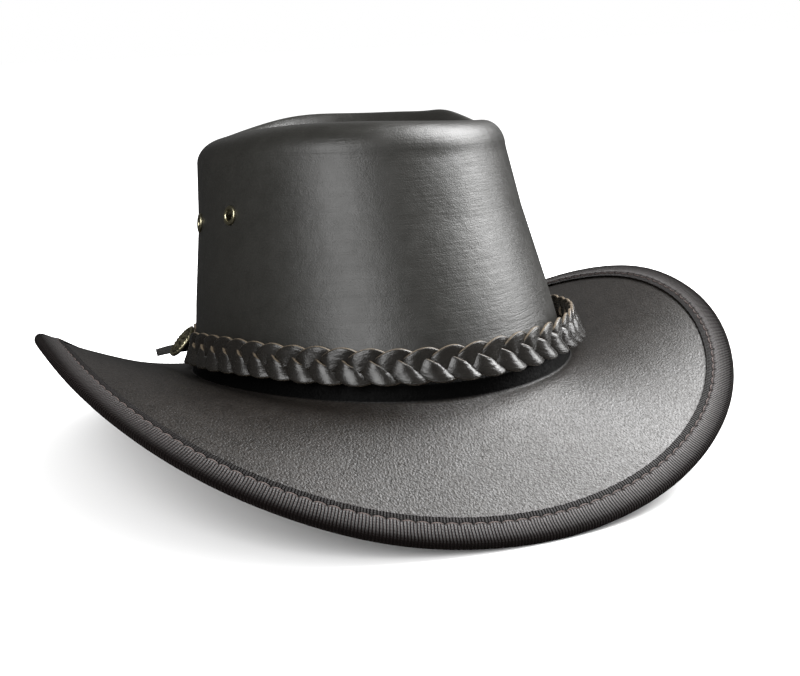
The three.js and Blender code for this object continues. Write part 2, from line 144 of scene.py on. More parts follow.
# Turn and rise are degrees, from the front towards the wearer's left and up from the level.
SOFTBOXES = [
    {"side": "left", "turn": -47, "rise": 31, "away": 1.5, "size": (0.9, 1.1)},
    {"side": "right", "turn": 79, "rise": 20, "away": 1.5, "size": (0.7, 0.8)},
    {"side": "top", "turn": 88, "rise": 46, "away": 1.7, "size": (1.35, 1.1)},
    {"side": "rear", "turn": 160, "rise": 24, "away": 1.6, "size": (1.3, 0.5)},
]

CAMERA_PLACE = (-0.24465, -0.59676, 0.18900)
CAMERA_TARGET = (0.00733, -0.01370, 0.05099)
CAMERA_ROLL = -2.40
CAMERA_LENS = 61.8


def length_setting(name, description, default):
    return FloatProperty(
        name=name, description=description, default=default, subtype="DISTANCE", unit="LENGTH")


def colour_setting(name, description, default):
    return FloatVectorProperty(
        name=name, description=description, default=default, size=3, subtype="COLOR", min=0, max=1)


def light_setting(name, description, default):
    return FloatProperty(name=name, description=description, default=default, min=0)


class HatSizes(bpy.types.PropertyGroup):
    """Sizes of the hat's own pieces"""
    head_length: length_setting(
        "Head Length", "Crown foot from front to back, outside the leather", 0.2014)
    head_width: length_setting("Head Width", "Crown foot from side to side, outside the leather", 0.172)
    leather: length_setting("Leather", "Thickness of the crown's and the brim's leather", 0.0022)
    brim_width: length_setting(
        "Brim Width", "From the crown's foot to the outside of the bound edge", 0.0753)
    binding_width: length_setting("Binding Width", "Ribbon that shows on the top of the brim", 0.0129)
    stitch_length: length_setting(
        "Stitch Length", "Distance from one needle hole of the binding to the next", 0.0059)
    rib_pitch: length_setting("Rib Pitch", "Distance between two ribs of the ribbon", 0.00135)
    strap_width: length_setting("Strap Width", "Width of one strap of the braid", 0.0080)
    strap_thickness: length_setting("Strap Thickness", "Thickness of one strap of the braid", 0.0016)
    braid_swing: length_setting(
        "Braid Swing", "How far a strap swings up and down in the braid", 0.00395)
    braid_weave: length_setting(
        "Braid Weave", "How far a strap moves out and in between the others", 0.0017)
    braid_period: length_setting(
        "Braid Period", "Length in which a strap returns to the same edge", 0.031)
    strap_bank: FloatProperty(
        name="Strap Bank", description="How far the straps' upper borders lean out",
        default=math.radians(14), subtype="ANGLE", unit="ROTATION")
    strap_tile: FloatProperty(
        name="Strap Tile", description="How much the straps lie over each other like tiles",
        default=math.radians(30), subtype="ANGLE", unit="ROTATION")
    concho_diameter: length_setting("Concho Diameter", "Outside of the concho's rim", 0.0165)
    eyelet_diameter: length_setting("Eyelet Diameter", "Outside of an eyelet's rolled lip", 0.009)


class HatColours(bpy.types.PropertyGroup):
    """Colours of the hat's materials"""
    crown: colour_setting("Crown", "Oiled leather of the crown", (0.0105, 0.0101, 0.0086))
    brim: colour_setting("Brim", "Leather of the brim", (0.0050, 0.0040, 0.0032))
    ribbon: colour_setting("Ribbon", "Grosgrain ribbon of the binding", (0.022, 0.0142, 0.0130))
    thread: colour_setting("Thread", "Thread of the binding's seam", (0.085, 0.062, 0.056))
    strap: colour_setting("Strap", "Finished face of the braid's straps", (0.0065, 0.0058, 0.0050))
    raw_edge: colour_setting("Raw Edge", "Cut edge of the braid's straps", (0.19, 0.145, 0.095))
    flesh: colour_setting("Flesh Side", "Suede of the leather's inner face", (0.030, 0.023, 0.018))
    brass: colour_setting("Brass", "Worn places of the antique brass", (0.62, 0.57, 0.38))


class HatStudio(bpy.types.PropertyGroup):
    """Lights of the studio"""
    left_box: light_setting("Left Softbox", "Power of the softbox at the left front", 20.0)
    right_box: light_setting("Right Softbox", "Power of the softbox at the right front", 15.5)
    top_box: light_setting("Top Softbox", "Power of the softbox high at the right", 76.0)
    rear_box: light_setting("Rear Softbox", "Power of the low softbox behind the hat", 0.6)
    room: light_setting("Room", "Light that the white room gives to dull surfaces", 1.12)
    room_gloss: light_setting("Room in Gloss", "Brightness of the room in glossy surfaces", 0.06)


# Shape of the hat

def around(column):
    """A smooth closed curve through the eight values of one column."""
    turns = np.radians(AROUND["at"])
    values = np.array(AROUND[column])
    count = len(values)
    waves = []
    for order in range(count // 2 + 1):
        half = order in (0, count // 2)
        cosine = (values * np.cos(order * turns)).sum() * (1 if half else 2) / count
        sine = 0 if half else (values * np.sin(order * turns)).sum() * 2 / count
        waves.append((order, cosine, sine))
    return lambda angle: sum(c * np.cos(n * angle) + s * np.sin(n * angle) for n, c, s in waves)


foot_slope = around("foot_slope")
edge_slope = around("edge_slope")
ridge_share = around("ridge")
inset_share = around("inset")
drop_share = around("drop")
braid_share = around("braid")
slack_share = around("slack")


def spot(x, y, z):
    x, y, z = np.broadcast_arrays(x, y, z)
    return np.stack([x, y, z], -1).astype(float)


def unit(vectors):
    return vectors / np.linalg.norm(vectors, axis=-1, keepdims=True)


def oval_normal(angle, length, width):
    return unit(spot(np.sin(angle) / width, -np.cos(angle) / length, 0))


def foot_point(angle):
    sizes = bpy.context.scene.hat_sizes
    return spot(
        sizes.head_width / 2 * np.sin(angle),
        -sizes.head_length / 2 * np.cos(angle),
        -FOOT_SADDLE * np.cos(2 * angle),
    )


def ridge_top(angle):
    share = ridge_share(angle)
    for dent in RIDGE_DENTS:
        away = (np.degrees(angle) - dent["at"] + 180) % 360 - 180
        share = share + dent["rise"] * np.exp(-(away / dent["spread"]) ** 2)
    return share * RIDGE_HEIGHT


def shoulder_point(angle):
    return spot(
        SHOULDER_WIDTH / 2 * np.sin(angle),
        SHOULDER_BACK - SHOULDER_LENGTH / 2 * np.cos(angle),
        ridge_top(angle) - ROLL_DROP * drop_share(angle),
    )


def shoulder_normal(angle):
    return oval_normal(angle, SHOULDER_LENGTH, SHOULDER_WIDTH)


def wall_direction(angle):
    return unit(shoulder_point(angle) - foot_point(angle))


def wall_point(angle, height):
    return foot_point(angle) + wall_direction(angle) * np.asarray(height)[..., None]


def brim_point(angle, distance, height):
    """A point at a distance out along the brim's top and a height over it."""
    sizes = bpy.context.scene.hat_sizes
    start = np.radians(foot_slope(angle))
    turn = (np.radians(edge_slope(angle)) - start) / sizes.brim_width
    turn = np.where(np.abs(turn) < 1e-6, 1e-6, turn)
    slope = start + turn * distance
    out = (np.sin(slope) - np.sin(start)) / turn - height * np.sin(slope)
    rise = (np.cos(start) - np.cos(slope)) / turn + height * np.cos(slope)
    normal = oval_normal(angle, sizes.head_length, sizes.head_width)
    return foot_point(angle) + normal * out[..., None] + spot(0, 0, rise)


def rest_matrix():
    """Pitches the hat until the front and the back of its brim both rest on the floor."""
    width = bpy.context.scene.hat_sizes.brim_width
    tips = brim_point(np.array([0.0, math.pi]), np.array([width, width]), np.zeros(2))
    pitch = math.atan2(tips[1, 2] - tips[0, 2], tips[1, 1] - tips[0, 1])
    return Matrix.Translation(REST_SHIFT) @ Matrix.Rotation(-pitch, 4, "X")


def at_rest(points):
    turn = np.array(rest_matrix())
    placed = points @ turn[:3, :3].T + turn[:3, 3]
    placed[..., 2] = np.maximum(placed[..., 2], 0)
    return placed


def frame_matrix(along, up, out, point):
    """Moves a piece made at the origin to a point and its three directions, with the hat at rest."""
    local = Matrix.Identity(4)
    for column, axis in enumerate((along, up, out, point)):
        for row in range(3):
            local[row][column] = axis[row]
    return rest_matrix() @ local


def wall_frame(angle, height):
    """Point, forward direction, upward direction and outward direction on the crown's wall."""
    step = 0.01
    up = wall_direction(angle)
    along = unit(wall_point(angle + step, height) - wall_point(angle - step, height))
    out = unit(np.cross(along, up))
    return wall_point(angle, height), along, np.cross(out, along), out


def ease(value):
    value = np.clip(value, 0, 1)
    return value * value * (3 - 2 * value)


# Modelling helpers

def clear_selection():
    if bpy.context.object and bpy.context.object.mode != "OBJECT":
        bpy.ops.object.mode_set(mode="OBJECT")
    bpy.ops.object.select_all(action="DESELECT")


def pick(piece):
    clear_selection()
    piece.select_set(True)
    bpy.context.view_layer.objects.active = piece


def start_edit(piece):
    """Opens a piece in edit mode with all of it selected."""
    pick(piece)
    bpy.ops.object.mode_set(mode="EDIT")
    bpy.ops.mesh.select_all(action="SELECT")


def end_edit():
    bpy.ops.object.mode_set(mode="OBJECT")


def mark_points(piece, name, values):
    mark = piece.data.attributes.new(name, "FLOAT", "POINT")
    mark.data.foreach_set("value", values)


def read_uvs(mesh):
    layer = mesh.uv_layers.active.data
    uvs = np.empty(len(layer) * 2)
    layer.foreach_get("uv", uvs)
    return uvs.reshape(-1, 2)


def finish_piece(piece, name, slot, nodes=(), finish=None):
    """Names a piece, gives it its finish (that of its slot unless a finish is named), hangs it on the body
    and hides the CAD nodes that it stands for.
    """
    material = hat_material(finish or slot)
    pick(piece)
    piece.name = name
    piece.data.name = name
    bpy.ops.object.transform_apply(location=True, rotation=True, scale=True)
    bpy.ops.object.shade_smooth()
    if piece.data.materials:
        piece.data.materials[0] = material
    else:
        piece.data.materials.append(material)
    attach(piece, BODY)
    if nodes:
        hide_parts(*nodes)
    return piece


def lay_grid(columns, rows, place, uv_size=(1, 1), merge=2e-6):
    """A grid laid onto a surface: place(u, v) gives the points, and edges that meet are joined."""
    clear_selection()
    bpy.ops.mesh.primitive_grid_add(x_subdivisions=columns, y_subdivisions=rows, size=2)
    piece = bpy.context.object
    flat = np.empty(len(piece.data.vertices) * 3)
    piece.data.vertices.foreach_get("co", flat)
    flat = flat.reshape(-1, 3)
    placed = place((flat[:, 0] + 1) / 2, (flat[:, 1] + 1) / 2)
    piece.data.vertices.foreach_set("co", placed.ravel())
    uvs = read_uvs(piece.data) * np.array(uv_size)
    piece.data.uv_layers.active.data.foreach_set("uv", uvs.ravel())
    piece.data.update()
    start_edit(piece)
    bpy.ops.mesh.remove_doubles(threshold=merge)
    bpy.ops.mesh.normals_make_consistent(inside=False)
    end_edit()
    return piece


def face_out(piece, centre, away=True):
    """Turns an open skin's faces away from a point, or towards it."""
    mesh = piece.data
    points = np.array([p.center[:] for p in mesh.polygons])
    normals = np.array([p.normal[:] for p in mesh.polygons])
    facing = ((points - np.array(centre)) * normals).sum()
    if (facing > 0) != away:
        start_edit(piece)
        bpy.ops.mesh.flip_normals()
        end_edit()


def thicken(piece, thickness, inside=None):
    """Gives a skin its thickness on the inner side, with a finish of its own there."""
    pick(piece)
    solid = piece.modifiers.new("Thickness", "SOLIDIFY")
    solid.thickness = thickness
    solid.offset = -1
    solid.use_even_offset = True
    solid.material_offset = 1 if inside else 0
    piece.data.materials.append(None)
    if inside:
        piece.data.materials.append(inside)
    bpy.ops.object.modifier_apply(modifier=solid.name)


def soften(piece, width, segments=2, angle=40):
    pick(piece)
    bevel = piece.modifiers.new("Soft Edges", "BEVEL")
    bevel.width = width
    bevel.segments = segments
    bevel.limit_method = "ANGLE"
    bevel.angle_limit = math.radians(angle)
    bpy.ops.object.modifier_apply(modifier=bevel.name)


# Materials

def add_node(tree, kind, inputs=None, **settings):
    node = tree.nodes.new(kind)
    for name, value in settings.items():
        setattr(node, name, value)
    for name, value in (inputs or {}).items():
        socket = node.inputs[name]
        if isinstance(value, bpy.types.NodeSocket):
            tree.links.new(value, socket)
        else:
            socket.default_value = value
    return node


def own_place(tree):
    return add_node(tree, "ShaderNodeTexCoord").outputs["Object"]


def own_uv(tree):
    return add_node(tree, "ShaderNodeUVMap").outputs[0]


def math_node(tree, operation, first, second=0.0, clamp=False):
    inputs = {0: first, 1: second}
    return add_node(tree, "ShaderNodeMath", inputs, operation=operation, use_clamp=clamp).outputs[0]


def times(tree, first, second):
    return math_node(tree, "MULTIPLY", first, second)


def plus(tree, first, second):
    return math_node(tree, "ADD", first, second)


def remap(tree, value, low, high, to_low=0.0, to_high=1.0):
    return add_node(tree, "ShaderNodeMapRange", {
        "Value": value, "From Min": low, "From Max": high,
        "To Min": to_low, "To Max": to_high}).outputs[0]


def colour_mix(tree, share, first, second):
    mix = add_node(tree, "ShaderNodeMix", data_type="RGBA")
    for socket, value in ((mix.inputs[0], share), (mix.inputs[6], first), (mix.inputs[7], second)):
        if isinstance(value, bpy.types.NodeSocket):
            tree.links.new(value, socket)
        else:
            socket.default_value = value
    return mix.outputs[2]


def noise(tree, vector, scale, detail=2.0, roughness=0.5):
    return add_node(tree, "ShaderNodeTexNoise", {
        "Vector": vector, "Scale": scale, "Detail": detail, "Roughness": roughness}).outputs[0]


def new_group(name, inputs, outputs):
    group = bpy.data.node_groups.new(name, "ShaderNodeTree")
    for label, kind, default in inputs:
        socket = group.interface.new_socket(label, in_out="INPUT", socket_type=kind)
        socket.default_value = default
    for label, kind in outputs:
        group.interface.new_socket(label, in_out="OUTPUT", socket_type=kind)
    return group, group.nodes.new("NodeGroupInput"), group.nodes.new("NodeGroupOutput")


def leather_group():
    """Grain, mottling and streaks of oiled leather: a colour, a roughness and a height."""
    group, given, result = new_group("Leather Finish", [
        ("Colour", "NodeSocketColor", (0.02, 0.02, 0.02, 1)),
        ("Worn Colour", "NodeSocketColor", (0.06, 0.05, 0.04, 1)),
        ("Roughness", "NodeSocketFloat", 0.4),
        ("Grain Size", "NodeSocketFloat", 1200.0),
        ("Grain Depth", "NodeSocketFloat", 1.0),
        ("Mottle Depth", "NodeSocketFloat", 1.0),
        ("Streak Depth", "NodeSocketFloat", 0.0),
        ("Speckle", "NodeSocketFloat", 0.3),
    ], [
        ("Colour", "NodeSocketColor"),
        ("Roughness", "NodeSocketFloat"),
        ("Height", "NodeSocketFloat"),
    ])
    place = own_place(group)
    grain = noise(group, place, given.outputs["Grain Size"], 3.0, 0.65)
    pores = add_node(group, "ShaderNodeTexVoronoi", {
        "Vector": place, "Scale": given.outputs["Grain Size"], "Randomness": 1.0}).outputs["Distance"]
    mottle = noise(group, place, 160.0, 4.0, 0.6)
    clouds = noise(group, place, 26.0, 3.0, 0.55)
    stretched = add_node(group, "ShaderNodeMapping", {"Vector": place, "Scale": (40, 40, 800)}).outputs[0]
    streaks = noise(group, stretched, 1.0, 4.0, 0.6)
    grain_height = times(group, plus(group, grain, times(group, pores, 0.5)), given.outputs["Grain Depth"])
    mottle_height = times(group, mottle, given.outputs["Mottle Depth"])
    streak_height = times(group, streaks, given.outputs["Streak Depth"])
    height = plus(group, plus(group, grain_height, mottle_height), streak_height)
    patches = remap(group, plus(group, mottle, clouds), 0.75, 1.3)
    specks = times(group, remap(group, grain, 0.38, 0.66), given.outputs["Speckle"])
    wear = math_node(group, "ADD", times(group, patches, 0.4), specks, clamp=True)
    colour = colour_mix(group, wear, given.outputs["Colour"], given.outputs["Worn Colour"])
    uneven = plus(
        group, remap(group, patches, 0, 1, -0.03, 0.05), remap(group, streaks, 0.3, 0.7, -0.02, 0.02))
    group.links.new(colour, result.inputs["Colour"])
    group.links.new(plus(group, given.outputs["Roughness"], uneven), result.inputs["Roughness"])
    group.links.new(height, result.inputs["Height"])
    return group


def wrinkle_group():
    """Short level wrinkles that fade away from a centre: a height."""
    group, given, result = new_group("Wrinkles", [
        ("Centre", "NodeSocketVector", (0, 0, 0)),
        ("Reach", "NodeSocketFloat", 0.03),
    ], [("Height", "NodeSocketFloat")])
    place = own_place(group)
    apart = add_node(
        group, "ShaderNodeVectorMath", {0: place, 1: given.outputs["Centre"]}, operation="DISTANCE")
    fade = math_node(group, "DIVIDE", apart.outputs["Value"], given.outputs["Reach"])
    fade = remap(group, fade, 1.0, 0.15)
    warp = noise(group, place, 90.0, 2.0, 0.5)
    wide = add_node(group, "ShaderNodeMapping", {"Vector": place, "Scale": (60, 60, 420)}).outputs[0]
    lines = noise(group, add_node(group, "ShaderNodeVectorMath", {
        0: wide, 1: warp}, operation="ADD").outputs[0], 1.0, 2.0, 0.45)
    ridges = remap(group, math_node(group, "ABSOLUTE", math_node(group, "SUBTRACT", lines, 0.5)), 0.0, 0.06)
    group.links.new(times(group, ridges, fade), result.inputs["Height"])
    return group


def new_material(name):
    material = bpy.data.materials.new(name)
    material.use_nodes = True
    tree = material.node_tree
    return material, tree, tree.nodes["Principled BSDF"]


def opaque(colour, factor=1.0):
    return (*(min(channel * factor, 1) for channel in colour), 1)


def shared_group(name, make):
    return bpy.data.node_groups.get(name) or make()


def leather_node(tree, colour, worn, **values):
    node = tree.nodes.new("ShaderNodeGroup")
    node.node_tree = shared_group("Leather Finish", leather_group)
    node.inputs["Colour"].default_value = opaque(colour)
    node.inputs["Worn Colour"].default_value = opaque(colour, worn)
    for label, value in values.items():
        node.inputs[label.replace("_", " ")].default_value = value
    return node


def dress(tree, shader, colour, rough, height, depth):
    """Links a surface's colour, roughness and relief to its shader."""
    bumps = add_node(tree, "ShaderNodeBump", {"Height": height, "Distance": depth, "Strength": 1.0})
    tree.links.new(colour, shader.inputs["Base Color"])
    if isinstance(rough, bpy.types.NodeSocket):
        tree.links.new(rough, shader.inputs["Roughness"])
    else:
        shader.inputs["Roughness"].default_value = rough
    tree.links.new(bumps.outputs[0], shader.inputs["Normal"])


def crown_leather():
    """Oiled leather, brushed round the crown, with short wrinkles low on its left front."""
    material, tree, shader = new_material("oiled crown leather")
    finish = leather_node(
        tree, bpy.context.scene.hat_colours.crown, 1.7, Roughness=0.40, Grain_Size=1500.0,
        Grain_Depth=0.35, Mottle_Depth=0.9, Streak_Depth=0.5, Speckle=0.25)
    wrinkles = tree.nodes.new("ShaderNodeGroup")
    wrinkles.node_tree = shared_group("Wrinkles", wrinkle_group)
    turn = np.array(math.radians(WRINKLE_ANGLE))
    centre = at_rest(wall_point(turn, WRINKLE_HEIGHT)[None])[0]
    wrinkles.inputs["Centre"].default_value = centre.tolist()
    wrinkles.inputs["Reach"].default_value = WRINKLE_REACH
    height = plus(tree, finish.outputs["Height"], times(tree, wrinkles.outputs["Height"], 0.26))
    dress(tree, shader, finish.outputs["Colour"], finish.outputs["Roughness"], height, 0.00022)
    return material


def brim_leather():
    """Leather with a coarser open grain and fine dark specks; painted shade turns it black and dull in the
    crease at the crown.
    """
    material, tree, shader = new_material("waxed brim leather")
    finish = leather_node(
        tree, bpy.context.scene.hat_colours.brim, 3.0, Roughness=0.42, Grain_Size=1050.0,
        Grain_Depth=1.0, Mottle_Depth=0.35, Streak_Depth=0.0, Speckle=0.9)
    uv = own_uv(tree)
    way_out = add_node(tree, "ShaderNodeSeparateXYZ", {0: uv}).outputs[1]
    # painted shade: the collar and the bend at the crown's foot are painted near black and their gloss is
    # taken away, as if they lay in the band's shadow
    painted_crease_shade = remap(tree, way_out, 0.6 * BEND_END, 0.92 * BEND_END, 1, 0)
    shade = colour_mix(tree, painted_crease_shade, finish.outputs["Colour"], (0.001, 0.001, 0.001, 1))
    place = own_place(tree)
    pores = remap(tree, noise(tree, place, 800.0, 3.0, 0.7), 0.34, 0.56, 0.28, 0.60)
    gloss = times(tree, pores, remap(tree, painted_crease_shade, 0, 1, 1, 0.05))
    tree.links.new(gloss, shader.inputs["Specular IOR Level"])
    dress(tree, shader, shade, finish.outputs["Roughness"], finish.outputs["Height"], 0.00019)
    return material


def flesh_side():
    """The leather's inner face: matt, fibrous suede."""
    material, tree, shader = new_material("flesh side suede")
    place = own_place(tree)
    nap = noise(tree, place, 900.0, 4.0, 0.7)
    clouds = noise(tree, place, 45.0, 3.0, 0.6)
    shade = plus(tree, times(tree, nap, 0.7), times(tree, clouds, 0.6))
    colour = bpy.context.scene.hat_colours.flesh
    colour = colour_mix(tree, remap(tree, shade, 0.4, 0.9), opaque(colour, 0.6), opaque(colour, 1.5))
    dress(tree, shader, colour, 0.9, nap, 0.0003)
    return material


def lace_leather():
    material, tree, shader = new_material("lace leather")
    finish = leather_node(
        tree, bpy.context.scene.hat_colours.strap, 1.8, Roughness=0.60, Grain_Size=1500.0,
        Grain_Depth=0.6, Mottle_Depth=0.8)
    dress(
        tree, shader, finish.outputs["Colour"], finish.outputs["Roughness"],
        finish.outputs["Height"], 0.0002)
    return material


def ribbon():
    """Grosgrain: thin ribs across the ribbon, crossed by dotted threads; the ribs are drawn partly as the
    weave and partly as a painted highlight on each rib with painted shade between them, and painted shade
    darkens the strip by the inner border and the ribbon towards its nose.
    """
    material, tree, shader = new_material("grosgrain ribbon")
    colour = bpy.context.scene.hat_colours.ribbon
    pitch = bpy.context.scene.hat_sizes.rib_pitch
    uv = own_uv(tree)
    split = add_node(tree, "ShaderNodeSeparateXYZ", {0: uv})
    wobble = remap(tree, noise(tree, uv, 260.0, 2.0), 0.3, 0.7, -0.00012, 0.00012)
    along = plus(tree, split.outputs[0], wobble)
    rib = remap(tree, math_node(tree, "SINE", times(tree, along, 2 * math.pi / pitch)), -1, 1)
    line = math_node(tree, "POWER", rib, 3.6)
    threads = times(tree, split.outputs[1], 2 * math.pi / THREAD_PITCH)
    dots = remap(tree, math_node(tree, "SINE", threads), -1, 1)
    fuzz = noise(tree, uv, 1900.0, 3.0, 0.6)
    # painted highlight and shade: each rib is painted as a bright dotted line, and the ground between the
    # ribs as painted shade
    light = times(tree, line, plus(tree, times(tree, dots, 0.75), 0.25))
    light = times(tree, light, remap(tree, fuzz, 0.3, 0.65, 0.45, 1.15))
    height = plus(tree, plus(tree, rib, times(tree, times(tree, dots, rib), 0.3)), times(tree, fuzz, 0.4))
    shade = colour_mix(tree, light, opaque(colour, 0.08), opaque(colour, 3.0))
    # painted shade: the strip between the ribbon's inner border and the seam is painted darker, with a
    # fuzzy edge
    strip = remap(tree, plus(tree, split.outputs[1], times(tree, fuzz, 0.0012)), 0.0040, 0.0050)
    shade = colour_mix(tree, strip, opaque(colour, 0.12), shade)
    # painted shade: the ribbon is painted darker, nearly black, as it turns round the nose, and its gloss
    # there and on the inner strip is lowered
    edge = remap(tree, split.outputs[1], 0.0068, 0.0106, 1.0, 0.05)
    shade = colour_mix(tree, edge, opaque(colour, 0.1), shade)
    gloss = times(tree, times(tree, edge, 0.62), remap(tree, strip, 0, 1, 0.3, 1))
    tree.links.new(gloss, shader.inputs["Specular IOR Level"])
    dress(tree, shader, shade, 0.55, height, 0.00045)
    shader.inputs["Sheen Weight"].default_value = 0.02
    shader.inputs["Sheen Roughness"].default_value = 0.4
    shader.inputs["Sheen Tint"].default_value = (0.8, 0.7, 0.68, 1)
    return material


def strap_leather():
    """Braid leather: dark and polished on its faces, fibrous tan along its cut edges."""
    material, tree, shader = new_material("strap leather")
    colours = bpy.context.scene.hat_colours
    finish = leather_node(
        tree, colours.strap, 2.0, Roughness=0.24, Grain_Size=1500.0, Grain_Depth=0.4, Mottle_Depth=0.8)
    edge = add_node(tree, "ShaderNodeAttribute", attribute_name="raw_edge").outputs["Fac"]
    uv = own_uv(tree)
    long_fibres = add_node(tree, "ShaderNodeMapping", {"Vector": uv, "Scale": (1, 4, 1)}).outputs[0]
    fibres = noise(tree, long_fibres, 900.0, 3.0)
    cut = math_node(tree, "MULTIPLY", edge, remap(tree, fibres, 0.38, 0.62, 0.1, 1.0), clamp=True)
    across = add_node(tree, "ShaderNodeMapping", {"Vector": uv, "Scale": (1, 10, 1)}).outputs[0]
    creases = noise(tree, across, 150.0, 3.0)
    height = plus(tree, finish.outputs["Height"], times(tree, creases, 1.3))
    shade = colour_mix(tree, cut, finish.outputs["Colour"], opaque(colours.raw_edge))
    rough = math_node(tree, "ADD", finish.outputs["Roughness"], times(tree, cut, 0.5), clamp=True)
    dress(tree, shader, shade, rough, height, 0.00016)
    return material


def brass(name, colour, tarnish, roughness):
    material, tree, shader = new_material(name)
    place = own_place(tree)
    patches = remap(tree, noise(tree, place, 500.0, 4.0, 0.6), 0.38, 0.66)
    relief = add_node(tree, "ShaderNodeAttribute", attribute_name="relief").outputs["Fac"]
    worn = math_node(
        tree, "MULTIPLY", remap(tree, relief, 0.25, 0.75), remap(tree, patches, 0, 1, 0.5, 1.0), clamp=True)
    shade = colour_mix(tree, worn, opaque(tarnish), opaque(colour))
    rough = remap(tree, worn, 0, 1, roughness + 0.3, roughness)
    dress(tree, shader, shade, rough, noise(tree, place, 2400.0, 3.0), 0.00004)
    shader.inputs["Metallic"].default_value = 1.0
    return material


def concho_brass():
    return brass("antique concho brass", bpy.context.scene.hat_colours.brass, (0.055, 0.05, 0.03), 0.30)


def eyelet_brass():
    return brass("antique eyelet brass", bpy.context.scene.hat_colours.brass, (0.05, 0.045, 0.035), 0.22)


def thread():
    material, tree, shader = new_material("waxed thread")
    place = own_place(tree)
    colour = bpy.context.scene.hat_colours.thread
    twist = noise(tree, place, 2200.0, 2.0)
    shade = colour_mix(tree, twist, opaque(colour, 0.5), opaque(colour, 1.6))
    dress(tree, shader, shade, 0.7, twist, 0.00008)
    return material


# The maker of each finish, and the name of the material that it makes.
FINISHES = {
    "crown_leather": (crown_leather, "oiled crown leather"),
    "brim_leather": (brim_leather, "waxed brim leather"),
    "flesh_side": (flesh_side, "flesh side suede"),
    "lace_leather": (lace_leather, "lace leather"),
    "ribbon": (ribbon, "grosgrain ribbon"),
    "braid_leather": (strap_leather, "strap leather"),
    "concho_brass": (concho_brass, "antique concho brass"),
    "eyelet_brass": (eyelet_brass, "antique eyelet brass"),
    "thread": (thread, "waxed thread"),
}


def hat_material(finish):
    """A finish of the hat, made the first time it is asked for."""
    make, name = FINISHES[finish]
    return bpy.data.materials.get(name) or make()


# Pieces

class HAT_OT_crown(bpy.types.Operator):
    """Crown: wall, rounded shoulder, ridge and sunken top in one skin of leather"""
    bl_idname = "hat.crown"
    bl_label = "Crown"

    def execute(self, context):
        sizes = context.scene.hat_sizes
        piece = lay_grid(288, 96, crown_surface)
        face_out(piece, (0, 0, 0.09))
        thicken(piece, sizes.leather, hat_material("flesh_side"))
        for eyelet in EYELETS:
            drill(piece, eyelet_matrix(eyelet), sizes.eyelet_diameter * 0.30)
        soften(piece, 0.0004)
        finish_piece(piece, "crown_skin", "crown_leather", ["crown"])
        return {"FINISHED"}


def sink_floor(y):
    front = ridge_top(np.array(0.0)) - SINK_DEPTH
    back = ridge_top(np.array(math.pi)) - SINK_DEPTH
    share = (y - SHOULDER_BACK) / SHOULDER_LENGTH + 0.5
    return front + (back - front) * share


def crown_surface(u, v):
    """Runs up the wall, over the shoulder, down into the sunken top and in to its centre."""
    wall_end, ridge_start, floor_start = 0.46, 0.62, 0.82
    angle = 2 * math.pi * u
    normal = shoulder_normal(angle)
    foot = wall_point(angle, -bpy.context.scene.hat_sizes.leather + 0 * u)
    wall_share = np.clip(v / wall_end, 0, 1)
    turn = np.clip((v - wall_end) / (ridge_start - wall_end), 0, 1) * math.pi / 2
    inward_share = np.clip((v - ridge_start) / (floor_start - ridge_start), 0, 1)
    centre_share = np.clip((v - floor_start) / (1 - floor_start), 0, 1)
    rows = WALL_ROWS
    swell = WALL_SWELL * np.interp(
        wall_share, [r["share"] for r in rows], [r["swell"] for r in rows]) * np.cos(turn)
    shoulder = shoulder_point(angle)
    point = foot + (shoulder - foot) * wall_share[:, None] + normal * swell[:, None]
    point -= normal * (ROLL_INSET * inset_share(angle) * (1 - np.cos(turn)))[:, None]
    point[:, 2] += ROLL_DROP * drop_share(angle) * np.sin(turn)
    point -= normal * (SINK_REACH * inward_share)[:, None]
    sunk = ease(inward_share ** 0.8)
    point[:, 2] += (sink_floor(point[:, 1]) - point[:, 2]) * sunk
    centre = np.array([0, SHOULDER_BACK])
    point[:, :2] += (centre - point[:, :2]) * centre_share[:, None]
    point[:, 2] = np.where(centre_share > 0, sink_floor(point[:, 1]), point[:, 2])
    return at_rest(point)


def eyelet_matrix(eyelet):
    angle = np.array(math.radians(eyelet["at"]))
    height = eyelet["share"] * np.linalg.norm(shoulder_point(angle) - foot_point(angle))
    point, along, up, out = wall_frame(angle, height)
    return frame_matrix(along, up, out, point + out * WALL_ROWS[2]["swell"] * WALL_SWELL)


def drill(piece, matrix, radius):
    clear_selection()
    bpy.ops.mesh.primitive_cylinder_add(vertices=40, radius=radius, depth=0.02)
    bit = bpy.context.object
    bit.data.transform(matrix)
    pick(piece)
    cut = piece.modifiers.new("Hole", "BOOLEAN")
    cut.operation = "DIFFERENCE"
    cut.solver = "EXACT"
    cut.object = bit
    bpy.ops.object.modifier_apply(modifier=cut.name)
    bpy.data.objects.remove(bit)


class HAT_OT_brim(bpy.types.Operator):
    """Brim: a ring of leather, turned up round the crown's foot and curled at the sides"""
    bl_idname = "hat.brim"
    bl_label = "Brim"

    def execute(self, context):
        piece = lay_grid(360, BRIM_ROWS, brim_surface)
        face_out(piece, (0, 0, -1))
        thicken(piece, context.scene.hat_sizes.leather, hat_material("flesh_side"))
        for vertex in piece.data.vertices:
            vertex.co.z = max(vertex.co.z, RIBBON / 2)
        finish_piece(piece, "brim_skin", "brim_leather", ["brim"])
        return {"FINISHED"}


def brim_wave(angle, distance):
    """Slight unevenness of the leather, growing towards the edge."""
    width = bpy.context.scene.hat_sizes.brim_width
    wave = 0.5 * np.sin(5 * angle + 0.7) + 0.35 * np.sin(9 * angle + 2.1)
    wave = wave + 0.25 * np.sin(14 * angle + 4.0)
    return BRIM_WAVE * wave * (distance / width) ** 2


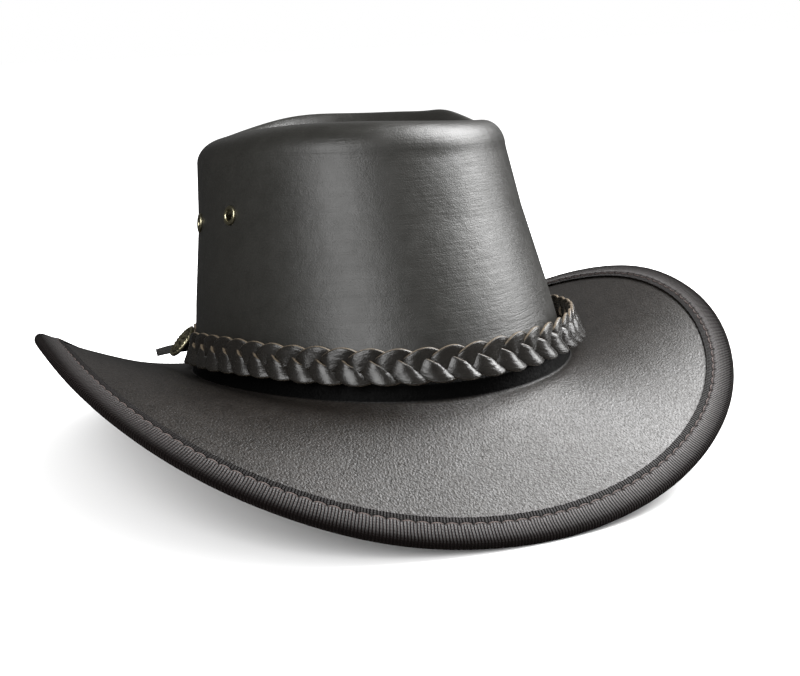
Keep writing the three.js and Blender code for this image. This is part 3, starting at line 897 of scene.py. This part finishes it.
def brim_surface(u, v):
    sizes = bpy.context.scene.hat_sizes
    angle = 2 * math.pi * u
    normal = oval_normal(angle, sizes.head_length, sizes.head_width)
    low = wall_point(angle, BREAK_REACH + 0 * u) + normal * COLLAR_OUT
    high = wall_point(angle, COLLAR_HEIGHT + 0 * u) + normal * COLLAR_OUT
    corner = brim_point(angle, COLLAR_OUT + 0 * u, 0 * u)
    start = brim_point(angle, COLLAR_OUT + BREAK_REACH + 0 * u, 0 * u)
    collar_share = np.clip(v / COLLAR_END, 0, 1)[:, None]
    bend = np.clip((v - COLLAR_END) / (BEND_END - COLLAR_END), 0, 1)[:, None]
    point = high + (low - high) * collar_share
    curve = low * (1 - bend) ** 2 + 2 * corner * bend * (1 - bend) + start * bend ** 2
    point = np.where(v[:, None] > COLLAR_END, curve, point)
    edge = sizes.brim_width - RIBBON - 2 * GAP
    reach = COLLAR_OUT + BREAK_REACH
    distance = reach + (edge - reach) * np.clip((v - BEND_END) / (1 - BEND_END), 0, 1)
    out = brim_point(angle, distance, brim_wave(angle, distance))
    return at_rest(np.where(v[:, None] > BEND_END, out, point))


def edge_turns():
    """Angles round the brim at equal steps along its bound edge, and the edge's length."""
    width = bpy.context.scene.hat_sizes.brim_width
    angle = np.linspace(0, 2 * math.pi, 2881)
    line = brim_point(angle, width + 0 * angle, 0 * angle)
    length = np.concatenate([[0], np.cumsum(np.linalg.norm(np.diff(line, axis=0), axis=1))])
    return (lambda share: np.interp(share * length[-1], length, angle)), length[-1]


class HAT_OT_binding(bpy.types.Operator):
    """Binding: ribbed ribbon folded over the brim's edge and sewn along its inner border"""
    bl_idname = "hat.binding"
    bl_label = "Binding"

    def execute(self, context):
        sizes = context.scene.hat_sizes
        turn_at, length = edge_turns()
        stitches = round(length / sizes.stitch_length)
        ribs = round(length / sizes.rib_pitch)
        piece = lay_grid(
            stitches * 10, len(BINDING_ROWS),
            lambda u, v: binding_surface(turn_at(u), v, u * stitches),
            uv_size=(ribs * sizes.rib_pitch, BINDING_GIRTH))
        finish_piece(piece, "binding_ribbon", "ribbon", ["brim_binding"])
        return {"FINISHED"}


# Section of the ribbon, once round: first its outer face from the border on the top, round the nose
# to the border underneath, then its inner face back. On top the share runs from the border at -1 to
# the seam at 0 and the nose at 1, round the nose from 0 to 1, and underneath from the nose to the border.
TOP, NOSE, UNDER = range(3)
BINDING_ROWS = [
    *[(TOP, share, False) for share in (-1, -0.96, -0.7, -0.4, -0.2, -0.09, 0, 0.03, 0.07, 0.13, 0.22)],
    *[(TOP, share, False) for share in (0.35, 0.5, 0.66, 0.83)],
    *[(NOSE, share, False) for share in (0, 0.14, 0.28, 0.42, 0.56, 0.7, 0.85, 1)],
    *[(UNDER, share, False) for share in (0.3, 0.55, 0.68, 0.75, 0.82, 1)],
    *[(UNDER, share, True) for share in (1, 0.4)],
    *[(NOSE, share, True) for share in (1, 0.75, 0.5, 0.25, 0)],
    *[(TOP, share, True) for share in (0.5, -0.5, -1)],
]
BINDING_GIRTH = 0.028
SEAM_INSET = 0.0036
SCALLOP = 0.0009
STRIP_DROP = 0.00022
GROOVE_DEPTH = 0.00075
BULGE_HEIGHT = 0.00032
RAGGED_EDGE = 0.00018
UNDER_SEAM_INSET = 0.003


def seam_arc(stitch):
    """How far the ribbon bulges between two needle holes: 0 at a hole, 1 midway."""
    return np.abs(np.sin(math.pi * stitch)) ** 0.7


def binding_surface(angle, v, stitch):
    sizes = bpy.context.scene.hat_sizes
    rows = np.array(BINDING_ROWS, dtype=float)
    row = rows[np.rint(v * len(rows)).astype(int) % len(rows)]
    zone, share, inner = row[:, 0], row[:, 1], row[:, 2] > 0
    arc = seam_arc(stitch)
    top = GAP + RIBBON
    radius = sizes.leather / 2 + top
    nose_out = sizes.brim_width - radius * 0.8
    start = sizes.brim_width - sizes.binding_width
    seam = start + SEAM_INSET - SCALLOP * arc
    turn = share * math.pi
    wrap = np.where(inner, radius - RIBBON, radius)
    ragged = RAGGED_EDGE * np.sin(stitch * 9.7) * np.sin(stitch * 3.1 + 1)
    over = np.where(share < 0, seam + share * (seam - start - ragged), seam + share * (nose_out - seam))
    bend = nose_out + wrap * 0.8 * np.sin(turn)
    below = nose_out + (sizes.brim_width - BINDING_UNDER_WIDTH - nose_out) * share
    distance = np.select([zone == TOP, zone == NOSE], [over, bend], below)
    past = distance - seam
    strip = -STRIP_DROP * (past < -0.0002)
    groove = -GROOVE_DEPTH * (1 - 0.3 * arc) * np.exp(-((past + 0.0001) / 0.00045) ** 2)
    bulge = BULGE_HEIGHT * (0.35 + 0.65 * arc) * np.exp(-((past - 0.0011) / 0.0010) ** 2)
    height_top = top + strip + groove + bulge
    height_nose = top - radius + wrap * np.cos(turn)
    holes = 0.00030 * (1 - arc) * np.exp(-((share - 0.75) / 0.08) ** 2)
    height_under = top - 2 * radius + holes
    height = np.select([zone == TOP, zone == NOSE], [height_top, height_nose], height_under)
    lining = np.select(
        [zone == TOP, zone == NOSE], [top - RIBBON, height_nose], top - 2 * radius + RIBBON)
    height = np.where(inner, lining, height)
    placed = at_rest(brim_point(angle, distance, height + brim_wave(angle, distance)))
    placed[inner, 2] = np.maximum(placed[inner, 2], RIBBON / 4)
    return placed


class HAT_OT_seam(bpy.types.Operator):
    """Seam: the thread stitches of the binding, on the top and underneath"""
    bl_idname = "hat.seam"
    bl_label = "Binding Seam"

    def execute(self, context):
        sizes = context.scene.hat_sizes
        top = sizes.brim_width - sizes.binding_width + SEAM_INSET
        under = sizes.brim_width - BINDING_UNDER_WIDTH + UNDER_SEAM_INSET
        lines = [
            ("binding_stitches_top", top, GAP + RIBBON - STRIP_DROP, SCALLOP),
            ("binding_stitches_under", under, -sizes.leather - GAP - RIBBON + 0.0001, 0),
        ]
        for name, distance, height, scallop in lines:
            piece = sew_line(name, distance, height, scallop)
            finish_piece(piece, name, "ribbon", finish="thread")
        return {"FINISHED"}


THREAD_RADIUS = 0.00024
STITCH_REACH = 0.46


def sew_line(name, distance, height, scallop):
    """One stitch is shaped as a thin spindle and copied along the seam, bowed from hole to hole."""
    turn_at, length = edge_turns()
    count = round(length / bpy.context.scene.hat_sizes.stitch_length)
    clear_selection()
    bpy.ops.mesh.primitive_uv_sphere_add(segments=8, ring_count=8, radius=1)
    stitch = bpy.context.object
    shape = np.array([vertex.co[:] for vertex in stitch.data.vertices])
    faces = np.array([list(p.vertices) + [-1] * (4 - len(p.vertices)) for p in stitch.data.polygons])
    bpy.data.objects.remove(stitch)
    points, polygons = [], []
    for index in range(count):
        reach = shape[:, 2] * STITCH_REACH
        where = index + 0.5 + reach
        here = turn_at((where / count) % 1.0)
        across = distance - scallop * seam_arc(where) + THREAD_RADIUS * shape[:, 0]
        lift = height + THREAD_RADIUS * shape[:, 1] + brim_wave(here, distance)
        base = index * len(shape)
        points.append(at_rest(brim_point(here, across, lift)))
        polygons += [[base + k for k in face if k >= 0] for face in faces.tolist()]
    mesh = bpy.data.meshes.new(name)
    mesh.from_pydata(np.concatenate(points).tolist(), [], polygons)
    piece = bpy.data.objects.new(name, mesh)
    bpy.context.scene.collection.objects.link(piece)
    start_edit(piece)
    bpy.ops.mesh.normals_make_consistent(inside=False)
    end_edit()
    return piece


class HAT_OT_braid(bpy.types.Operator):
    """Braid: three flat straps plaited round the crown's foot"""
    bl_idname = "hat.braid"
    bl_label = "Braid"

    def execute(self, context):
        turn_at, length = braid_turns()
        run = length - BRAID_START - BRAID_END
        periods = round(run / context.scene.hat_sizes.braid_period)
        for index in range(3):
            piece = make_strap(turn_at, run, periods, index)
            finish_piece(
                piece, f"braid_strap_{index + 1}", "braid_leather", [f"braid_strand_{index + 1}"])
        return {"FINISHED"}


def braid_frame(angle):
    """Point, forward, upward and outward directions on the braid's middle line."""
    point, along, up, out = wall_frame(angle, BRAID_HEIGHT * braid_share(angle))
    point = point + out * (BRAID_STANDOFF + BRAID_SLACK * slack_share(angle))[..., None]
    lean = (math.radians(BRAID_LEAN) * np.sin(angle) ** 2)[..., None]
    return point, along, up * np.cos(lean) - out * np.sin(lean), out * np.cos(lean) + up * np.sin(lean)


def braid_turns():
    """Angles round the crown by distance along the braid's middle line from the concho."""
    angle = math.radians(CONCHO_ANGLE) + np.linspace(0, 2 * math.pi, 1441)
    line = braid_frame(angle)[0]
    length = np.concatenate([[0], np.cumsum(np.linalg.norm(np.diff(line, axis=0), axis=1))])
    return (lambda distance: np.interp(distance, length, angle)), length[-1]


# Half of a strap's section: share of the width, share of the thickness, and how raw the leather is.
STRAP_SECTION = [
    {"side": -0.30, "layer": 0.50, "raw": 0.0},
    {"side": 0.00, "layer": 0.50, "raw": 0.0},
    {"side": 0.30, "layer": 0.50, "raw": 0.0},
    {"side": 0.43, "layer": 0.48, "raw": 0.0},
    {"side": 0.475, "layer": 0.42, "raw": 0.15},
    {"side": 0.495, "layer": 0.28, "raw": 1.0},
    {"side": 0.500, "layer": 0.00, "raw": 1.0},
    {"side": 0.495, "layer": -0.28, "raw": 1.0},
    {"side": 0.475, "layer": -0.42, "raw": 0.6},
    {"side": 0.43, "layer": -0.50, "raw": 0.2},
]


def strap_section():
    """The whole section: the half above, then the same half turned round."""
    rows = [(r["side"], r["layer"], r["raw"]) for r in STRAP_SECTION]
    back = [(0.30, -0.50, 0.12), (0.0, -0.50, 0.1), (-0.30, -0.50, 0.1)]
    left = [(-side, layer, raw * 0.12) for side, layer, raw in reversed(rows[3:])]
    return np.array(rows + back + left)


# A strap weaves in and out as a sharpened wave: the lead shifts its crossings along the strap, and
# the bias keeps it longer outside. It tips like a tile, later than it swings by TILE_LAG, and less at
# the upper border. CROWDING shifts the plait along round CROWDING_ANGLE, so that its crossings crowd
# on one side of that place and spread on the other.
FOLD_SHARPNESS = 1.2
FOLD_LEAD = -0.35
FOLD_BIAS = 0.5
TILE_LAG = 0.6
TILE_UPPER = 0.3
CROWDING = 1.15
CROWDING_ANGLE = -50
CROWDING_SPREAD = 40
END_TUCK = 0.0028
STRAP_CAMBER = 0.0004
STRAP_STEPS = 44
STRAP_GIRTH = 2.4


def make_strap(turn_at, run, periods, index):
    sizes = bpy.context.scene.hat_sizes
    section = strap_section()
    count = len(section)
    steps = periods * STRAP_STEPS
    phase = index * 2 * math.pi / 3

    def middle(share):
        angle = turn_at(BRAID_START + run * share)
        crowd = CROWDING * np.exp(-((np.degrees(angle) - CROWDING_ANGLE) / CROWDING_SPREAD) ** 2)
        turn = share * periods * 2 * math.pi + phase + crowd
        point, _, up, out = braid_frame(angle)
        to_end = np.minimum(share, 1 - share) * run
        tucked = (1 - ease(to_end / GATHER_LENGTH))[:, None]
        point = point - out * END_TUCK * tucked
        gather = GATHER_SHARE + (1 - GATHER_SHARE) * ease(to_end / GATHER_LENGTH)
        uneven = 0.00018 * np.sin(share * 61 + index * 2.1) + 0.00012 * np.sin(share * 143 + index)
        swing = gather * sizes.braid_swing * np.cos(turn) + uneven
        fold = np.tanh(FOLD_SHARPNESS * (FOLD_BIAS - np.sin(2 * turn + FOLD_LEAD)))
        weave = sizes.braid_weave * fold * gather
        return point + up * swing[:, None] + out * weave[:, None], out, turn, gather

    def place(u, v):
        point, out, turn, gather = middle(u)
        step = 0.25 / steps
        ahead = middle(np.minimum(u + step, 1))[0]
        behind = middle(np.maximum(u - step, 0))[0]
        along = unit(ahead - behind)
        across = unit(np.cross(out, along))
        face = np.cross(along, across)
        tile = np.cos(turn - TILE_LAG)
        tile = np.where(tile < 0, tile, tile * TILE_UPPER)
        bank = (sizes.strap_bank + sizes.strap_tile * tile)[:, None]
        tilted = across * np.cos(bank) + face * np.sin(bank)
        raised = face * np.cos(bank) - across * np.sin(bank)
        slot = np.rint(v * count).astype(int) % count
        side = section[slot, 0]
        layer = section[slot, 1]
        width = sizes.strap_width * gather * (1 + 0.03 * np.sin(u * 97 + index * 1.7))
        camber = STRAP_CAMBER * (1 - (2 * side) ** 2)
        ends = np.clip(np.minimum(u, 1 - u) * steps, 0, 1)
        return at_rest(
            point
            + tilted * (side * width * ends)[:, None]
            + raised * ((layer * sizes.strap_thickness + camber) * ends)[:, None])

    piece = lay_grid(steps, count, place, uv_size=(run * 1.25, sizes.strap_width * STRAP_GIRTH))
    mark_raw_edges(piece, section, count)
    return piece


def mark_raw_edges(piece, section, count):
    """Writes how raw the leather is at each point, found from its place in the UV map."""
    mesh = piece.data
    share = read_uvs(mesh)[:, 1] / (bpy.context.scene.hat_sizes.strap_width * STRAP_GIRTH)
    corner = np.empty(len(mesh.loops), dtype=int)
    mesh.loops.foreach_get("vertex_index", corner)
    raw = np.zeros(len(mesh.vertices))
    raw[corner] = section[np.rint(share * count).astype(int) % count, 2]
    mark_points(piece, "raw_edge", raw)


class HAT_OT_lace(bpy.types.Operator):
    """Lace: the tie behind the concho, with its tail standing out"""
    bl_idname = "hat.lace"
    bl_label = "Tie Lace"

    def execute(self, context):
        angle = np.array(math.radians(CONCHO_ANGLE))
        point, along, up, out = wall_frame(angle, BRAID_HEIGHT * braid_share(angle))
        rows = point + LACE_REACH * np.array([
            along * row["along"] + up * row["up"] + out * row["out"] for row in LACE_ROWS])

        def curve(share):
            near = np.clip((share * (len(rows) - 1)).astype(int), 0, len(rows) - 2)
            local = (share * (len(rows) - 1) - near)[:, None]
            before, after = rows[np.maximum(near - 1, 0)], rows[np.minimum(near + 2, len(rows) - 1)]
            start, end = rows[near], rows[near + 1]
            return 0.5 * (
                2 * start + (end - before) * local + (2 * before - 5 * start + 4 * end - after) * local ** 2
                + (3 * start - before - 3 * end + after) * local ** 3)

        section = strap_section()
        count = len(section)
        steps = 60

        def place(u, v):
            step = 0.004
            ahead, behind = curve(np.minimum(u + step, 1)), curve(np.maximum(u - step, 0))
            forward = unit(ahead - behind)
            face = unit(np.cross(forward, up))
            across = np.cross(face, forward)
            slot = np.rint(v * count).astype(int) % count
            ends = np.clip(np.minimum(u, 1 - u) * steps, 0, 1)
            taper = (1 - 0.12 * ease((u - 0.75) / 0.25)) * ends
            return at_rest(
                curve(u) + across * (section[slot, 0] * LACE_WIDTH * taper)[:, None]
                - face * (section[slot, 1] * LACE_THICKNESS * ends)[:, None])

        piece = lay_grid(steps, count, place)
        finish_piece(piece, "lace_tie", "lace_leather", ["tie_lace"])
        return {"FINISHED"}


class HAT_OT_concho(bpy.types.Operator):
    """Concho: a domed brass disc with a beaded rim and a raised rosette"""
    bl_idname = "hat.concho"
    bl_label = "Concho"

    def execute(self, context):
        radius = context.scene.hat_sizes.concho_diameter / 2
        rows = np.array(CONCHO_ROWS)

        def place(u, v):
            turn = 2 * math.pi * u
            spread = np.interp(v, rows[:, 0], rows[:, 1])
            height = np.interp(v, rows[:, 0], rows[:, 2]) * CONCHO_THICKNESS
            face = v < CONCHO_RIM
            petals = ease((0.62 - np.abs(spread - 0.42) * 2.4) / 0.5)
            petals = PETAL_HEIGHT * petals * np.cos(PETALS * turn)
            ring = -RING_DEPTH * np.exp(-((spread - 0.74) / 0.035) ** 2)
            beads = BEAD_HEIGHT * np.exp(-((spread - 0.92) / 0.07) ** 2) * np.cos(BEADS * turn)
            height = height + (petals + ring + beads) * face
            reach = radius * spread
            return spot(reach * np.cos(turn), reach * np.sin(turn), height)

        piece = lay_grid(182, 84, place, merge=1e-6)
        mark_relief(piece, radius)
        piece.data.transform(concho_matrix())
        finish_piece(piece, "concho_disc", "concho_brass", ["concho"])
        return {"FINISHED"}


# Section of the concho from its middle over the face, round the rim and across the back to its post:
# share of the way, share of the radius, and height as a share of CONCHO_THICKNESS.
PETALS = 8
PETAL_HEIGHT = 0.00028
RING_DEPTH = 0.00035
BEADS = 26
BEAD_HEIGHT = 0.00022
CONCHO_THICKNESS = 0.003
CONCHO_RIM = 0.66
CONCHO_ROWS = [
    (0.00, 0.00, 1.12),
    (0.06, 0.13, 1.08),
    (0.09, 0.18, 0.94),
    (0.30, 0.45, 0.84),
    (0.50, 0.80, 0.56),
    (0.58, 0.88, 0.66),
    (0.63, 0.94, 0.68),
    (0.66, 0.985, 0.58),
    (0.70, 1.00, 0.40),
    (0.74, 0.985, 0.20),
    (0.78, 0.93, 0.04),
    (0.80, 0.90, 0.00),
    (0.92, 0.26, 0.00),
    (0.94, 0.25, -0.02),
    (0.97, 0.24, -0.27),
    (1.00, 0.00, -0.27),
]


def mark_relief(piece, radius):
    """Raised places are marked as worn bright, hollows and the back as tarnished."""
    points = np.array([vertex.co[:] for vertex in piece.data.vertices])
    reach = np.hypot(points[:, 0], points[:, 1]) / radius
    rows = np.array([row for row in CONCHO_ROWS if row[0] <= CONCHO_RIM])
    plain = np.interp(reach, rows[:, 1], rows[:, 2]) * CONCHO_THICKNESS
    relief = np.clip(0.45 + (points[:, 2] - plain) / 0.0008, 0, 1)
    relief = np.where(reach > 0.93, np.maximum(relief, 0.8), relief)
    relief = np.where(points[:, 2] < CONCHO_THICKNESS * 0.12, 0.0, relief)
    mark_points(piece, "relief", relief)


def concho_matrix():
    angle = np.array(math.radians(CONCHO_ANGLE))
    point, along, up, out = wall_frame(angle, BRAID_HEIGHT * braid_share(angle) - CONCHO_DROP)
    point = point + out * CONCHO_STANDOFF
    tilt = Matrix.Rotation(math.radians(-CONCHO_TILT), 3, Vector(along))
    swing = Matrix.Rotation(math.radians(CONCHO_SWING), 3, Vector(up))
    along, up, out = (swing @ tilt @ Vector(axis) for axis in (along, up, out))
    return frame_matrix(along, up, out, point)


class HAT_OT_eyelets(bpy.types.Operator):
    """Eyelets: brass tubes with a rolled lip, through the crown's wall"""
    bl_idname = "hat.eyelets"
    bl_label = "Eyelets"

    def execute(self, context):
        sizes = context.scene.hat_sizes
        outer = sizes.eyelet_diameter / 2

        def place(u, v):
            turn = 2 * math.pi * u
            roll = 2 * math.pi * v
            middle = outer - 0.00105
            reach = middle + 0.00105 * np.cos(roll)
            height = 0.0004 + 0.0009 * np.sin(roll)
            inside = (np.cos(roll) < 0) & (np.sin(roll) < 0)
            height = np.where(inside, 0.0004 - 0.0034 * np.abs(np.sin(roll)), height)
            return spot(reach * np.cos(turn), reach * np.sin(turn), height)

        first = lay_grid(64, 28, place)
        mark_points(first, "relief", np.full(len(first.data.vertices), 0.8))
        for eyelet in EYELETS:
            piece = first.copy()
            piece.data = first.data.copy()
            context.scene.collection.objects.link(piece)
            piece.data.transform(eyelet_matrix(eyelet))
            finish_piece(piece, eyelet["name"] + "_ring", "eyelet_brass", [eyelet["name"]])
        bpy.data.objects.remove(first)
        return {"FINISHED"}


class HAT_OT_stage(bpy.types.Operator):
    """Stage: pale floor, white room, softboxes and the camera"""
    bl_idname = "hat.stage"
    bl_label = "Stage"

    def execute(self, context):
        studio = context.scene.hat_studio
        context.scene.view_settings.view_transform = "Standard"
        clear_selection()
        bpy.ops.mesh.primitive_plane_add(size=60, location=(0, 0, 0))
        floor = context.object
        floor.name = "floor"
        floor.visible_glossy = False
        material, _, shader = new_material("floor paper")
        shader.inputs["Base Color"].default_value = (0.9, 0.9, 0.9, 1)
        shader.inputs["Roughness"].default_value = 0.9
        shader.inputs["Specular IOR Level"].default_value = 0.0
        floor.data.materials.append(material)
        for box in SOFTBOXES:
            add_softbox(box, getattr(studio, box["side"] + "_box"))
        context.scene.world = make_room(studio)
        add_camera()
        return {"FINISHED"}


def make_room(studio):
    """A white room that shows only dimly in glossy surfaces, as behind softboxes."""
    world = bpy.data.worlds.new("room")
    world.use_nodes = True
    world.cycles.sampling_method = "NONE"
    tree = world.node_tree
    path = add_node(tree, "ShaderNodeLightPath")
    seen = remap(tree, path.outputs["Is Camera Ray"], 0, 1, studio.room, 1.0)
    strength = colour_mix(
        tree, path.outputs["Is Glossy Ray"],
        add_node(tree, "ShaderNodeCombineColor", {0: seen, 1: seen, 2: seen}).outputs[0],
        (studio.room_gloss, studio.room_gloss, studio.room_gloss, 1))
    tree.links.new(strength, tree.nodes["Background"].inputs[0])
    return world


def add_softbox(box, power):
    name = box["side"] + "_softbox"
    light = bpy.data.lights.new(name, "AREA")
    light.shape = "RECTANGLE"
    light.size, light.size_y = box["size"]
    light.energy = power
    lamp = bpy.data.objects.new(name, light)
    lamp.visible_camera = False
    bpy.context.scene.collection.objects.link(lamp)
    turn, rise = math.radians(box["turn"]), math.radians(box["rise"])
    aim = Vector((0, 0, 0.08))
    away = Vector((math.sin(turn) * math.cos(rise), -math.cos(turn) * math.cos(rise), math.sin(rise)))
    lamp.location = aim + away * box["away"]
    lamp.rotation_euler = away.to_track_quat("Z", "Y").to_euler()


def add_camera():
    camera = bpy.data.cameras.new("camera")
    camera.lens = CAMERA_LENS
    camera.sensor_width = 36
    camera.clip_start = 0.01
    viewer = bpy.data.objects.new("camera", camera)
    bpy.context.scene.collection.objects.link(viewer)
    place, target = Vector(CAMERA_PLACE), Vector(CAMERA_TARGET)
    look = (target - place).to_track_quat("-Z", "Y").to_matrix().to_4x4()
    roll = Matrix.Rotation(math.radians(CAMERA_ROLL), 4, "Z")
    viewer.matrix_world = Matrix.Translation(place) @ look @ roll
    bpy.context.scene.camera = viewer


class HAT_PT_panel(bpy.types.Panel):
    """Lists the hat's pieces and its sizes"""
    bl_idname = "HAT_PT_panel"
    bl_label = "Leather Hat"
    bl_space_type = "VIEW_3D"
    bl_region_type = "UI"
    bl_category = "Hat"

    def draw(self, context):
        for operator in STEPS:
            self.layout.operator(operator.bl_idname)
        for group in (context.scene.hat_sizes, context.scene.hat_colours, context.scene.hat_studio):
            for name in group.bl_rna.properties.keys():
                if name not in ("rna_type", "name"):
                    self.layout.prop(group, name)


STEPS = (
    HAT_OT_crown, HAT_OT_brim, HAT_OT_binding, HAT_OT_seam, HAT_OT_braid,
    HAT_OT_lace, HAT_OT_concho, HAT_OT_eyelets, HAT_OT_stage,
)
CLASSES = (HatSizes, HatColours, HatStudio, *STEPS, HAT_PT_panel)


def register():
    for item in CLASSES:
        bpy.utils.register_class(item)
    bpy.types.Scene.hat_sizes = PointerProperty(type=HatSizes)
    bpy.types.Scene.hat_colours = PointerProperty(type=HatColours)
    bpy.types.Scene.hat_studio = PointerProperty(type=HatStudio)


def unregister():
    del bpy.types.Scene.hat_sizes
    del bpy.types.Scene.hat_colours
    del bpy.types.Scene.hat_studio
    for item in reversed(CLASSES):
        bpy.utils.unregister_class(item)


def main():
    register()
    for step in ("crown", "brim", "binding", "seam", "braid", "lace", "concho", "eyelets", "stage"):
        getattr(bpy.ops.hat, step)()


if __name__ == "__main__":
    main()
